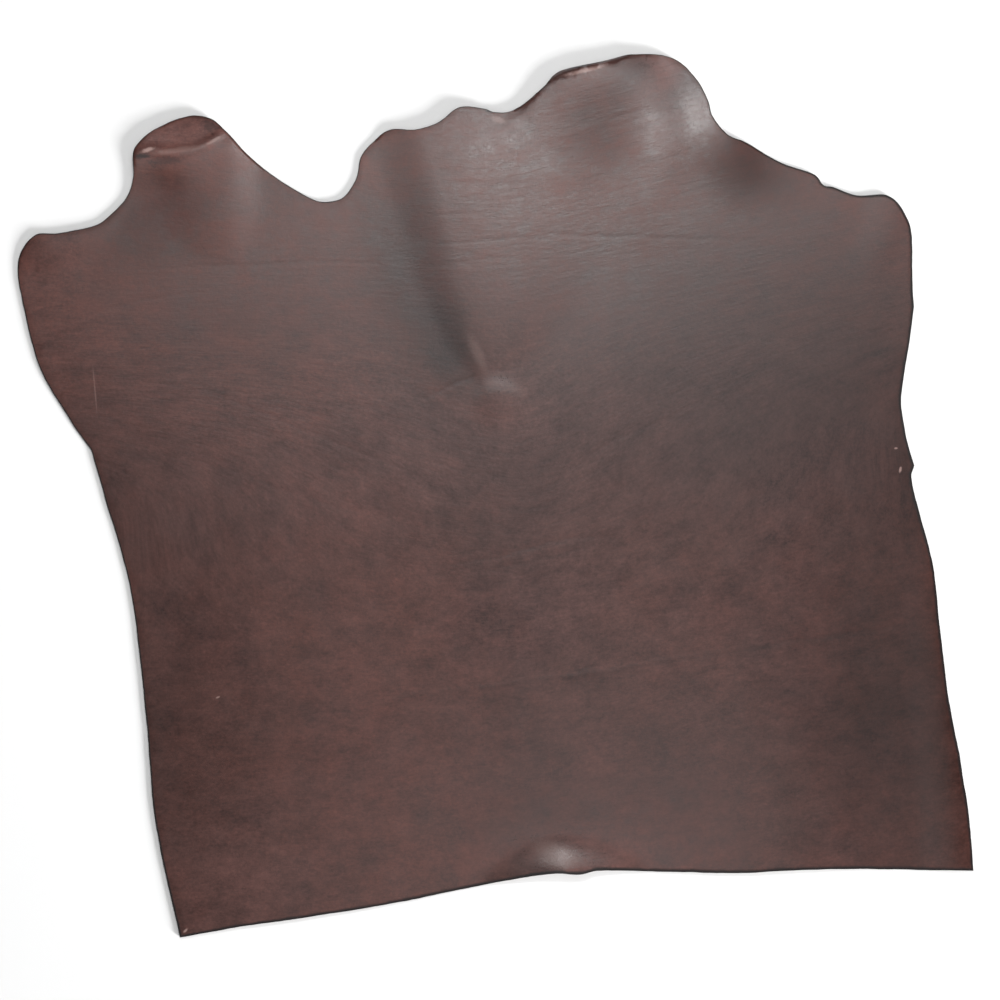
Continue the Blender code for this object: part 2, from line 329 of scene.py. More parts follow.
# Narrow troughs pressed or grown into the grain side, in the same form, though they lower it.
creases = {
    "storage crease": (
        (-0.300, 0.214, 0.0060, 0.0080, -0.00010),
        (-0.180, 0.231, 0.0060, 0.0090, -0.00022),
        (0.020, 0.240, 0.0050, 0.0090, -0.00030),
        (0.200, 0.247, 0.0060, 0.0100, -0.00035),
        (0.330, 0.254, 0.0060, 0.0100, -0.00042),
        (0.422, 0.258, 0.0060, 0.0100, -0.00030),
        (0.480, 0.260, 0.0060, 0.0080, -0.00010),
    ),
    "backbone wrinkle, upper": (
        (-0.106, 0.398, 0.0040, 0.0050, -0.00010),
        (-0.020, 0.407, 0.0040, 0.0050, -0.00030),
        (0.040, 0.413, 0.0040, 0.0050, -0.00025),
        (0.110, 0.409, 0.0040, 0.0050, -0.00008),
    ),
    "backbone wrinkle, lower": (
        (-0.080, 0.386, 0.0040, 0.0040, -0.00008),
        (-0.020, 0.390, 0.0040, 0.0040, -0.00018),
        (0.060, 0.397, 0.0040, 0.0040, -0.00008),
    ),
    "buckle wrinkle": (
        (-0.120, 0.620, 0.0040, 0.0050, -0.00008),
        (-0.075, 0.634, 0.0040, 0.0050, -0.00022),
        (-0.045, 0.642, 0.0040, 0.0050, -0.00010),
    ),
    "left sweep": (
        (-0.447, 0.690, 0.0050, 0.0060, -0.00004),
        (-0.340, 0.624, 0.0050, 0.0060, -0.00009),
        (-0.246, 0.576, 0.0050, 0.0060, -0.00010),
        (-0.123, 0.505, 0.0050, 0.0060, -0.00004),
    ),
    "left sweep, lower": (
        (-0.379, 0.550, 0.0050, 0.0060, -0.00004),
        (-0.254, 0.490, 0.0050, 0.0060, -0.00009),
        (-0.171, 0.460, 0.0050, 0.0060, -0.00004),
    ),
    "right sweep": (
        (0.010, 0.472, 0.0050, 0.0060, -0.00004),
        (0.103, 0.526, 0.0050, 0.0060, -0.00009),
        (0.239, 0.576, 0.0050, 0.0060, -0.00004),
    ),
    "left wither wrinkle": (
        (-0.489, 0.828, 0.0050, 0.0060, -0.00007),
        (-0.300, 0.822, 0.0050, 0.0060, -0.00018),
        (-0.159, 0.807, 0.0050, 0.0060, -0.00008),
    ),
    "flank wrinkle": (
        (-0.586, 0.765, 0.0050, 0.0060, -0.00008),
        (-0.466, 0.787, 0.0050, 0.0060, -0.00017),
        (-0.380, 0.792, 0.0050, 0.0060, -0.00007),
    ),
    "right wither wrinkle": (
        (0.030, 0.830, 0.0050, 0.0060, -0.00008),
        (0.150, 0.812, 0.0050, 0.0060, -0.00020),
        (0.333, 0.787, 0.0050, 0.0060, -0.00008),
    ),
    "neck wrinkle": (
        (-0.020, 0.896, 0.0040, 0.0050, -0.00008),
        (0.110, 0.894, 0.0040, 0.0050, -0.00018),
        (0.267, 0.908, 0.0040, 0.0050, -0.00010),
    ),
    "neck wrinkle, upper": (
        (0.055, 0.940, 0.0040, 0.0050, -0.00010),
        (0.151, 0.958, 0.0040, 0.0050, -0.00020),
        (0.262, 0.982, 0.0040, 0.0050, -0.00010),
    ),
    "neck wrinkle, tip": (
        (0.109, 0.966, 0.0040, 0.0050, -0.00004),
        (0.159, 0.973, 0.0040, 0.0050, -0.00012),
        (0.210, 0.979, 0.0040, 0.0050, -0.00006),
    ),
    "neck wrinkle, lobe": (
        (0.222, 0.968, 0.0040, 0.0050, -0.00005),
        (0.250, 0.978, 0.0040, 0.0050, -0.00013),
        (0.281, 0.989, 0.0040, 0.0050, -0.00005),
    ),
    "neck wrinkle, middle": (
        (0.145, 0.907, 0.0040, 0.0060, -0.00005),
        (0.184, 0.916, 0.0040, 0.0060, -0.00014),
        (0.221, 0.923, 0.0040, 0.0060, -0.00007),
    ),
    "neck wrinkle, right": (
        (0.219, 0.905, 0.0040, 0.0060, -0.00006),
        (0.253, 0.911, 0.0040, 0.0060, -0.00016),
        (0.286, 0.916, 0.0040, 0.0060, -0.00008),
    ),
    "neck wrinkle, foot": (
        (0.159, 0.837, 0.0050, 0.0060, -0.00004),
        (0.211, 0.837, 0.0050, 0.0060, -0.00013),
        (0.264, 0.841, 0.0050, 0.0060, -0.00005),
    ),
    "crest wrinkle, first": (
        (-0.079, 0.942, 0.0040, 0.0050, -0.00004),
        (-0.005, 0.940, 0.0040, 0.0050, -0.00012),
        (0.075, 0.934, 0.0040, 0.0050, -0.00005),
    ),
    "crest wrinkle, second": (
        (-0.123, 0.925, 0.0040, 0.0050, -0.00005),
        (-0.041, 0.922, 0.0040, 0.0050, -0.00014),
        (0.042, 0.917, 0.0040, 0.0050, -0.00005),
    ),
    "crest wrinkle, third": (
        (-0.149, 0.907, 0.0050, 0.0060, -0.00006),
        (-0.030, 0.900, 0.0050, 0.0060, -0.00018),
        (0.092, 0.889, 0.0050, 0.0060, -0.00006),
    ),
    "crest wrinkle, fourth": (
        (-0.064, 0.879, 0.0040, 0.0050, -0.00004),
        (0.001, 0.876, 0.0040, 0.0050, -0.00012),
        (0.068, 0.874, 0.0040, 0.0050, -0.00004),
    ),
    "crest wrinkle, fifth": (
        (-0.107, 0.861, 0.0040, 0.0050, -0.00005),
        (-0.047, 0.861, 0.0040, 0.0050, -0.00013),
        (0.013, 0.857, 0.0040, 0.0050, -0.00004),
    ),
    "crest wrinkle, sixth": (
        (-0.077, 0.824, 0.0040, 0.0050, -0.00005),
        (0.002, 0.821, 0.0040, 0.0050, -0.00013),
        (0.082, 0.818, 0.0040, 0.0050, -0.00004),
    ),
    "crest wrinkle, last": (
        (-0.096, 0.797, 0.0040, 0.0050, -0.00005),
        (-0.047, 0.797, 0.0040, 0.0050, -0.00013),
        (0.006, 0.796, 0.0040, 0.0050, -0.00004),
    ),
}


def linePoints(step):  # the knife line as points about one step apart, on a smooth Bezier curve
    knots = [Vector((across, along, 0)) for _, across, along, _ in knifeLine]
    corners = [turn == "corner" for *_, turn in knifeLine]

    def handle(at, towards):
        reach = (knots[towards % len(knots)] - knots[at]).length / 3  # evenly paced along the curve
        if corners[at]:
            return knots[at] + (knots[towards % len(knots)] - knots[at]).normalized() * reach
        flow = (knots[(at + 1) % len(knots)] - knots[at - 1]).normalized()
        return knots[at] + flow * (reach if towards == at + 1 else -reach)

    points = []
    for at in range(len(knots)):
        after = (at + 1) % len(knots)
        pieces = ceil((knots[after] - knots[at]).length / step)
        leaving, arriving = handle(at, at + 1), handle(after, after - 1)
        points += interpolate_bezier(knots[at], leaving, arriving, knots[after], pieces + 1)[:-1]
    return np.array([point[:2] for point in points])


def outwards(rim):  # the direction away from the leather at each point of the rim
    ahead = np.roll(rim, -1, axis=0) - np.roll(rim, 1, axis=0)
    return np.column_stack([ahead[:, 1], -ahead[:, 0]]) / np.hypot(*ahead.T)[:, None]


def waves(places, layers, seed):  # smooth unevenness, the same each time
    heights = np.zeros(len(places))
    for frequency, reach in layers:
        heights += [noise.noise((x * frequency, y * frequency, seed)) * reach for x, y in places]
    return heights


def flowing(stations, rows, at):  # the rows' values in between, on a curve through every row
    slopes = np.gradient(rows, stations, axis=0)
    at = np.clip(at, stations[0], stations[-1])
    before = np.clip(np.searchsorted(stations, at) - 1, 0, len(stations) - 2)
    span = (stations[before + 1] - stations[before])[:, None]
    share = (at - stations[before])[:, None] / span
    ease = share * share * (3 - 2 * share)
    value = rows[before] + (rows[before + 1] - rows[before]) * ease
    value += slopes[before] * span * share * (1 - share) ** 2
    return value - slopes[before + 1] * span * share * share * (1 - share)


section = {  # of every fold and crease
    "power": 4,  # of the cosine that it follows from crest to foot
    "fineTo": 1.15,  # the mesh is fine as far out as this, in lengths of the flank
}


def ridges(places, table):  # how high a table's ridges are, and the shortest flank at each place
    height = np.zeros(len(places))
    tightest = np.full(len(places), np.inf)
    for rows in table.values():
        rows = np.array(rows)
        foot, tip = rows[0, :2], rows[-1, :2]
        along = (tip - foot) / np.hypot(*(tip - foot))
        leftward = np.array([-along[1], along[0]])
        stations = (rows[:, :2] - foot) @ along
        sections = np.column_stack([(rows[:, :2] - foot) @ leftward, rows[:, 2:]])
        at = (places - foot) @ along
        crest, left, right, rise = flowing(stations, sections, at).T
        sideways = (places - foot) @ leftward - crest
        flank = np.where(sideways > 0, left, right)
        beyond = (at - np.clip(at, stations[0], stations[-1])) / ((left + right) / 2)
        distance = np.hypot(sideways / flank, beyond)
        height += rise * np.cos(pi / 2 * np.minimum(distance, 1)) ** section["power"]
        tightest = np.where(distance < section["fineTo"], np.minimum(tightest, flank), tightest)
    return height, tightest


def drape(places):  # how high the underside lies
    lift, tightest = ridges(places, folds)
    settle = hide["settle"]
    return np.where(lift < 2 * settle, lift * lift / (4 * settle), lift - settle), tightest


def creased(places):  # how the creases change the gauge; none of them runs quite true
    astray = [waves(places, hide["wander"], seed) for seed in hide["seeds"]["wander"]]
    return ridges(places + np.column_stack(astray), creases)


def inside(places, rim):  # where a line drawn to one side meets the rim an odd number of times
    crossings = np.zeros(len(places), int)
    for start, end in zip(rim, np.roll(rim, -1, axis=0)):
        spans = (start[1] > places[:, 1]) != (end[1] > places[:, 1])
        rise = (end[1] - start[1]) or 1.0  # a level stretch is never met
        meets = start[0] + (places[:, 1] - start[1]) * (end[0] - start[0]) / rise
        crossings += spans & (places[:, 0] < meets)
    return crossings % 2 == 1


def rimDistance(places, rim):
    batch = 4000  # places at a time, which spares memory
    return np.concatenate([
        np.min(np.hypot(*(some[:, None] - rim[None]).transpose(2, 0, 1)), axis=1)
        for some in np.array_split(places, ceil(len(places) / batch))
    ])


def latticePoints(rim):  # places inside the rim, fewer where the sheet is flat or bends gently
    step = hide["latticeStep"]
    rowStep = step * sqrt(3) / 2
    low, high = rim.min(axis=0), rim.max(axis=0)
    rows = np.arange(floor(low[1] / rowStep), ceil(high[1] / rowStep) + 1)
    first = floor(low[0] / step - rows.max() / 2)
    last = ceil(high[0] / step - rows.min() / 2)
    row, column = (grid.ravel() for grid in np.meshgrid(rows, np.arange(first, last + 1)))
    places = np.column_stack([(column + row / 2) * step, row * rowStep])
    boxed = ((places > low) & (places < high)).all(axis=1)
    row, column, places = row[boxed], column[boxed], places[boxed]
    tightest = np.minimum(drape(places)[1], creased(places)[1])
    kept = np.ones(len(places), bool)
    for reach, every in hide["thinning"]:
        kept &= (tightest < reach) | ((row % every == 0) & (column % every == 0))
    places = places[kept]
    places = places[inside(places, rim)]
    band = hide["rimBand"]
    places = places[rimDistance(places, rim) > band + step * hide["edgeClearance"]]
    innerRow = rim - outwards(rim) * band
    return np.vstack([places, innerRow[rimDistance(innerRow, rim) > band * hide["bandKept"]]])


# Soft patches: across, along, half width, half length, the turn in degrees, and how strong.
# Partly the dye's own uneven tone, partly painted light: the buckle's shaded flank and its tip, the
# foreleg's root, the neck's right foot, dark corner, dark fold and the slope behind the lip are darkened
# as painted shade; the middle of the butt and the neck's tip are made paler as painted sheen.
dyeAndPaintedLightPatches = {  # darker above nought, paler below it
    "left side": (-0.520, 0.180, 0.120, 0.420, 3, 0.38),
    "left flank": (-0.560, 0.800, 0.090, 0.110, 0, -0.16),
    "left flank, foot": (-0.540, 0.560, 0.060, 0.100, 20, 0.10),
    "left corner of the butt": (-0.440, 0.020, 0.100, 0.100, 0, -0.40),
    "left rib": (-0.250, 0.230, 0.200, 0.300, 0, 0.05),
    "middle of the butt": (0.020, 0.010, 0.110, 0.034, 0, -0.50),
    "backbone": (-0.045, 0.330, 0.050, 0.380, 2, 0.16),
    "right shoulder": (0.330, 0.600, 0.280, 0.200, -10, 0.50),
    "right side": (0.500, 0.240, 0.150, 0.400, 0, 0.48),
    "right side, foot": (0.400, 0.140, 0.100, 0.140, 0, 0.46),
    "neck field": (0.200, 0.780, 0.200, 0.100, 0, 0.30),
    "neck, right foot": (0.330, 0.885, 0.060, 0.045, -25, 0.70),
    "neck lobe, dark corner": (0.282, 1.008, 0.020, 0.026, 0, 0.45),
    "neck lobe, dark fold": (0.200, 1.035, 0.026, 0.022, 0, 0.55),
    "neck, behind the lip": (0.150, 0.985, 0.060, 0.040, 8, 0.40),
    "buckle's shaded flank": (-0.118, 0.790, 0.050, 0.130, 8, 1.20),
    "buckle's flank, tip": (-0.078, 0.690, 0.030, 0.050, 15, 1.00),
    "left shoulder": (-0.160, 0.940, 0.060, 0.070, 0, -0.25),
    "left foreleg": (-0.405, 1.012, 0.100, 0.034, 0, -0.60),
    "left foreleg, root": (-0.455, 0.895, 0.070, 0.060, 0, 0.75),
    "below the buckle's tip": (-0.010, 0.590, 0.050, 0.040, 0, -0.20),
    "right foreleg": (0.500, 0.780, 0.060, 0.080, 0, -0.10),
    "neck, tip": (0.245, 1.035, 0.032, 0.036, 0, -0.42),
    "backbone, middle": (0.010, 0.490, 0.030, 0.050, 0, 0.24),
    "right rib, foot": (0.190, 0.110, 0.130, 0.110, 0, 0.12),
    "right flank": (0.470, 0.720, 0.060, 0.100, 0, 0.14),
    "left shoulder, middle": (-0.360, 0.750, 0.130, 0.060, 0, 0.15),
}
# The strong warmth of the buckle's shaded flank and of the foreleg's root paints their shade a deeper
# red; the cooler neck tip is part of its painted sheen.
warmPatches = {  # redder above nought, cooler below it
    "left foreleg": (-0.405, 1.010, 0.110, 0.035, 0, -0.35),
    "left foreleg, root": (-0.440, 0.905, 0.080, 0.070, 0, 1.40),
    "left shoulder": (-0.140, 0.930, 0.060, 0.090, 0, 0.45),
    "left flank": (-0.580, 0.800, 0.080, 0.110, 0, 0.15),
    "left rib": (-0.220, 0.300, 0.240, 0.340, 0, 0.10),
    "left side": (-0.500, 0.450, 0.140, 0.400, 0, -0.05),
    "right rib": (0.120, 0.100, 0.220, 0.160, 0, -0.60),
    "backbone": (0.030, 0.380, 0.080, 0.160, 0, -0.50),
    "right side": (0.530, 0.300, 0.060, 0.300, 0, 0.60),
    "right shoulder": (0.260, 0.560, 0.260, 0.140, 0, -0.60),
    "neck, right foot": (0.350, 0.880, 0.060, 0.030, -30, 0.45),
    "neck": (0.160, 0.860, 0.200, 0.110, 0, 0.60),
    "buckle's shaded flank": (-0.098, 0.750, 0.045, 0.140, 12, 1.60),
    "backbone, behind the buckle": (-0.120, 0.560, 0.130, 0.110, 0, -0.50),
    "left waist": (-0.420, 0.520, 0.110, 0.080, 0, -0.35),
    "left corner of the butt": (-0.400, 0.030, 0.090, 0.080, 0, -0.60),
    "neck, tip": (0.245, 1.030, 0.045, 0.045, 0, -0.90),
}
wrinkledPatches = {  # more wrinkled than elsewhere
    "neck": (0.130, 0.920, 0.230, 0.120, 0, 1.2),
    "left shoulder": (-0.120, 0.860, 0.100, 0.120, 0, 0.5),
    "left sweep": (-0.330, 0.620, 0.260, 0.130, -25, 0.4),
    "right sweep": (0.180, 0.600, 0.240, 0.110, 20, 0.3),
    "left foreleg": (-0.400, 0.930, 0.120, 0.100, 0, 0.4),
    "backbone": (0.000, 0.420, 0.120, 0.090, 0, 0.4),
}
polishPatches = {  # what is taken off the roughness
    "neck lobe": (0.289, 0.962, 0.024, 0.044, 8, 0.10),
    "neck ridge": (0.228, 0.985, 0.034, 0.080, 8, 0.085),
    "neck, behind the lip": (0.150, 0.940, 0.050, 0.050, 8, -0.10),
    "neck, foot of the lip": (0.090, 1.020, 0.034, 0.022, 30, -0.05),
    "crest": (0.005, 0.945, 0.045, 0.050, 0, 0.03),
    "neck, right foot": (0.345, 0.890, 0.070, 0.045, -25, -0.14),
    "buckle's tip": (-0.010, 0.628, 0.026, 0.016, 0, 0.04),
    "butt buckle": (-0.012, 0.018, 0.060, 0.028, -20, 0.06),
}


def patchStrength(places, patches):
    total = np.zeros(len(places))
    for across, along, halfWidth, halfLength, turn, strength in patches.values():
        x, y = (places - (across, along)).T
        u = (x * cos(radians(turn)) + y * sin(radians(turn))) / halfWidth
        v = (y * cos(radians(turn)) - x * sin(radians(turn))) / halfLength
        total += strength * np.exp(-(u * u + v * v))
    return total


growth = {  # wrinkles cross the backbone; over the withers and on the neck they sweep to it in a V
    "elsewhere": 0.06,  # how steep
    "sweeps": ((0.570, 0.150, 0.38), (0.980, 0.110, 0.12)),  # along, reach, and how steep
    "blunt": 0.035,  # the V is rounded this far to each side of the backbone
    "wrinkled": 0.45,  # how well wrinkled the leather is outside the patches
}


def growthLine(places):  # points on one growth wrinkle share this number
    across, along = places.T
    slope = growth["elsewhere"]
    for middle, reach, steepness in growth["sweeps"]:
        slope = slope + steepness * np.exp(-((along - middle) / reach) ** 2)
    return along - slope * (np.hypot(across, growth["blunt"]) - growth["blunt"])


grainLook = {
    "cool": (0.0492, 0.0209, 0.0178),
    "warm": (0.0590, 0.0188, 0.0138),
    "shadedFlankRed": (0.0800, 0.0160, 0.0100),  # painted shade: the deeper red of the shaded flanks, where it is warmest
    "highlightAndWear": (0.240, 0.155, 0.138),  # painted highlight on the sharp crests and folds, and the pale of scratches and nicks
    "inkAndShade": (0.007, 0.0045, 0.0045),  # the knife line is dressed darker; the dark small marks use this colour as painted shade
    "warmth": 0.4,  # how far the dye leans from cool to warm
    "shadedFlankRedFrom": 0.8,  # the warmth at which the painted shade's red begins
    "paleness": (0.5, 1.6),  # the dye's darkest and palest shares
    "trough": (0.34, 0.50),  # a wrinkle's noise at its foot and at its shoulder
    "troughDarkening": 0.12,
    "creaseDarkening": 0.18,  # how much darker a crease of the full depth is
    "creaseDepth": 0.0004,
    "inkAndShadeFades": (0.3, 1.2),  # shares of the dark band's width along the knife line
    "inkRoughness": 0.25,  # added by the ink
    "markCore": 0.25,  # share of a small mark that is whole, before it fades
    "roughness": 0.34,
    "glossy": (0.285, 0.8),  # no smoother or rougher than this, but where it is polished
    "specular": 0.36,
    "wrinkleDepth": 0.22,  # mm, where the leather is well wrinkled
    "fineWrinkleDepth": 0.07,
    "smoothDepth": 0.035,  # of the fine wrinkles everywhere
    "grainDepth": 0.08,
    "poreDepth": 0.018,
    "pores": 1300.0,  # a metre
}
grainNoise = {  # waves a metre, octaves, and the share that each octave keeps
    "tone": (14.0, 6.5, 0.96),
    "hue": (20.0, 3.0, 0.6),
    "grain": (250.0, 2.0, 0.6),
}
streakNoise = {  # the same, with the waves across and those along
    "flow": (14, 27, 6.0, 0.92),
    "wrinkle": (26, 125, 3.0, 0.6),
    "fineWrinkle": (120, 420, 3.0, 0.65),
}
grainShares = {  # how much each noise adds, about its middle
    "paleness": {"tone": 1.6, "flow": 2.3, "grain": 0.6, "fineWrinkle": 0.5},
    "roughness": {"tone": 0.32, "flow": 0.24, "grain": 0.12},
    "warmth": {"hue": 1.15},
    "shadedFlankRed": {"hue": 0.8},
    "torn": {"flow": 1.2, "grain": 0.8},  # the edges of small marks
    "inkAndShadeEdges": {"tone": 1.5},  # and of the ink and painted shade along the knife line
}

# Small marks: across, along, half length, half width, the turn in degrees, how strong, and what shows.
# The pale marks on the foreleg's crest, the lip and both buckles are painted highlights; the scratch and
# the nicks are real wear.
grainMarks = {
    # The dark marks under the pinch, below the crest, in the inner corner, in the neck pocket and under
    # the curled lip are painted shade.
    "foreleg crest, pinch": (-0.452, 0.991, 0.012, 0.0040, 12, 1.0, "highlightAndWear"),
    "foreleg crest": (-0.412, 0.986, 0.044, 0.0060, 2, 0.30, "highlightAndWear"),
    "foreleg crest, inner end": (-0.364, 0.994, 0.017, 0.0028, 26, 0.45, "highlightAndWear"),
    "foreleg, under the pinch": (-0.462, 0.983, 0.014, 0.0050, -4, 0.9, "inkAndShade"),
    "foreleg, below the crest": (-0.430, 0.974, 0.034, 0.0080, 0, 0.40, "inkAndShade"),
    "foreleg, inner corner": (-0.369, 1.016, 0.018, 0.0140, -30, 0.5, "inkAndShade"),
    "neck pocket": (0.006, 0.999, 0.009, 0.0050, -20, 0.9, "inkAndShade"),
    "neck pocket, rim": (0.018, 0.985, 0.014, 0.0060, -25, 0.3, "highlightAndWear"),
    "neck lip, curled under": (0.134, 1.049, 0.026, 0.0040, 6, 1.0, "inkAndShade"),
    "neck lip": (0.141, 1.0405, 0.040, 0.0042, 8, 0.8, "highlightAndWear"),
    "buckle's tip": (-0.043, 0.672, 0.040, 0.0100, -72, 0.12, "highlightAndWear"),
    "butt buckle": (-0.010, 0.018, 0.040, 0.0200, -25, 0.35, "highlightAndWear"),
    "scratch": (-0.5465, 0.673, 0.042, 0.0014, 91, 0.22, "highlightAndWear"),
    "nick, left rib": (-0.418, 0.258, 0.004, 0.0018, 20, 0.6, "highlightAndWear"),
    "nick, butt corner": (-0.481, -0.027, 0.005, 0.0020, 40, 0.8, "highlightAndWear"),
    "nick, right side": (0.489, 0.460, 0.005, 0.0022, 70, 0.8, "highlightAndWear"),
    "nick, right waist": (0.487, 0.489, 0.003, 0.0018, 0, 0.7, "highlightAndWear"),
}

inkAndShadeWidths = {  # how far the knife line's dark dressing reaches in: across, along, and metres; its wider band on the butt cut and right side is painted shade
    "butt cut": (0.0, -0.60, 0.0044),
    "right side": (1.10, 0.40, 0.0046),
    "left side": (-1.20, 0.30, 0.0020),
    "neck": (-0.10, 1.60, 0.0010),
}


def inkAndShadeWidth(places):  # between the sides it follows the nearest of them, smoothly
    power = 6  # the higher it is, the shorter the change between two sides
    shares = np.array([1 / np.hypot(*(places - row[:2]).T) ** power for row in inkAndShadeWidths.values()])
    widths = np.array([row[2] for row in inkAndShadeWidths.values()])
    return widths @ shares / shares.sum(axis=0)


def smallMark(leather, place, middle, torn, row):  # 1 inside the mark, 0 beyond its torn edge
    across, along, halfLength, halfWidth, turn, strength = row
    sockets = {
        "Vector": place,
        "Location": (across - middle[0], along - middle[1], 0.0),
        "Rotation": (0.0, 0.0, radians(turn)),
        "Scale": (halfLength, halfWidth, 1.0),
    }
    local = leather.node("ShaderNodeMapping", {"vector_type": "TEXTURE"}, sockets)
    distance = leather.node("ShaderNodeVectorMath", {"operation": "LENGTH"}, {0: local}, "Value")
    return (1 - (distance + torn).ease(grainLook["markCore"], 1.0)) * strength


def waxedGrain(middle):
    look = grainLook
    leather = newMaterial("waxed_grain_side", look["warm"])
    place = leather.node("ShaderNodeTexCoord", output="Object")
    across = leather.node("ShaderNodeSeparateXYZ", None, {0: place}, "X")
    line = leather.painted("growthLine")

    def streaks(wide, long, detail, roughness):  # noise drawn out along the growth wrinkles
        drawn = leather.node("ShaderNodeCombineXYZ", None, {0: across * wide, 1: line * long})
        return leather.cloud(drawn, 1.0, detail, roughness)

    noises = {name: leather.cloud(place, *row) for name, row in grainNoise.items()}
    noises.update({name: streaks(*row) for name, row in streakNoise.items()})

    def varied(name, start):  # a value with its noises added, each about its own middle
        return sum(((noises[kind] - 0.5) * share for kind, share in grainShares[name].items()), start)

    wrinkle, fineWrinkle = noises["wrinkle"], noises["fineWrinkle"]
    cells = {"Vector": place, "Scale": look["pores"]}
    pores = leather.node("ShaderNodeTexVoronoi", {"feature": "F1"}, cells)
    wrinkled = leather.painted("wrinkled")
    creases = leather.painted("creased")
    inkAndShadeEdge = leather.painted("rimDistance") / leather.painted("inkAndShadeWidth")
    knifeLineInkAndShade = 1 - varied("inkAndShadeEdges", inkAndShadeEdge).ease(*look["inkAndShadeFades"])

    warm = leather.painted("warm")
    warmth = (varied("warmth", warm) + look["warmth"]).held()
    # painted shade: past this warmth the shaded flanks turn a deeper red
    shadedFlankRed = (varied("shadedFlankRed", warm) - look["shadedFlankRedFrom"]).held()
    # darker in the wrinkles' troughs and in the creases
    troughDarkness = 1 - (1 - wrinkle.ease(*look["trough"])) * wrinkled * look["troughDarkening"]
    # the dye's tone, with the patches' painted shade and painted sheen
    paleness = leather.painted("dyeAndPaintedLight") * varied("paleness", 1).held(*look["paleness"])
    paleness = paleness * troughDarkness * (1 - creases * look["creaseDarkening"])
    colour = leather.blend(shadedFlankRed, leather.blend(warmth, look["cool"], look["warm"]), look["shadedFlankRed"])
    colour = leather.shade(paleness, colour)
    torn = varied("torn", 0)
    # the small marks: painted highlights and painted shade on the crests and folds, and real scratches
    # and nicks
    for *row, shown in grainMarks.values():
        colour = leather.blend(smallMark(leather, place, middle, torn, row), colour, look[shown])
    # the knife line's dark dressing, with painted shade where the band is wider
    colour = leather.blend(knifeLineInkAndShade, colour, look["inkAndShade"])

    inkRoughness = knifeLineInkAndShade * look["inkRoughness"]
    roughness = (varied("roughness", 0) + inkRoughness + look["roughness"]).held(*look["glossy"])
    depth = wrinkled * (wrinkle * look["wrinkleDepth"] + fineWrinkle * look["fineWrinkleDepth"])
    depth = depth + fineWrinkle * look["smoothDepth"]
    depth = depth + noises["grain"] * look["grainDepth"] + pores * look["poreDepth"]
    return leather.finish({
        "Base Color": colour,
        "Roughness": roughness - leather.painted("polish"),
        "Specular IOR Level": look["specular"],
        "Normal": leather.bump(depth),
    })


fleshLook = {
    "body": (0.150, 0.078, 0.050),
    "dark": (0.085, 0.042, 0.028),
    "pale": (0.210, 0.120, 0.080),
    "roughness": 0.92,
    "specular": 0.15,
    "sheen": 0.25,
    "napDepth": 0.25,  # mm
    "nap": (700.0, 4.0, 0.7),  # waves a metre, octaves, and the share that each octave keeps
    "brushed": (60.0, 5.0, 0.65),
    "broad": (6.0, 3.0, 0.5),
    "broadShare": 0.6,
    "brushedShare": 0.5,
    "bodyFrom": (0.3, 0.8),  # the noise where the dark tone ends and the body is whole
    "paleFrom": (0.5, 0.85),
    "paleShare": 0.6,
}


def fleshSuede():
    look = fleshLook
    suede = newMaterial("flesh_side_suede", look["body"])
    place = suede.node("ShaderNodeTexCoord", output="Object")
    nap, brushed, broad = (suede.cloud(place, *look[name]) for name in ("nap", "brushed", "broad"))
    body = (broad * look["broadShare"] + brushed * look["brushedShare"]).ease(*look["bodyFrom"])
    colour = suede.blend(body, look["dark"], look["body"])
    colour = suede.blend(nap.ease(*look["paleFrom"]) * look["paleShare"], colour, look["pale"])
    return suede.finish({
        "Base Color": colour,
        "Roughness": look["roughness"],
        "Specular IOR Level": look["specular"],
        "Sheen Weight": look["sheen"],
        "Normal": suede.bump(nap * look["napDepth"] + brushed * look["napDepth"]),
    })


edgeLook = {
    "dyed": (0.010, 0.0060, 0.0060),
    "fibre": (0.035, 0.0180, 0.0130),
    "roughness": 0.75,
    "specular": 0.3,
    "fibreDepth": 0.12,  # mm
    "layers": (300.0, 300.0, 2600.0),  # waves a metre: fibres lie flat, many to the thickness
    "octaves": (4.0, 0.65),  # and the share that each keeps
    "fibreFrom": (0.45, 0.75),  # the noise where fibres begin to show and are whole
}


def knifeCutEdge():
    look = edgeLook
    edge = newMaterial("knife_cut_edge", look["dyed"])
    place = edge.node("ShaderNodeTexCoord", output="Object")
    layered = edge.node("ShaderNodeMapping", None, {"Vector": place, "Scale": look["layers"]})
    fibres = edge.cloud(layered, 1.0, *look["octaves"])
    return edge.finish({
        "Base Color": edge.blend(fibres.ease(*look["fibreFrom"]), look["dyed"], look["fibre"]),
        "Roughness": look["roughness"],
        "Specular IOR Level": look["specular"],
        "Normal": edge.bump(fibres * look["fibreDepth"]),
    })


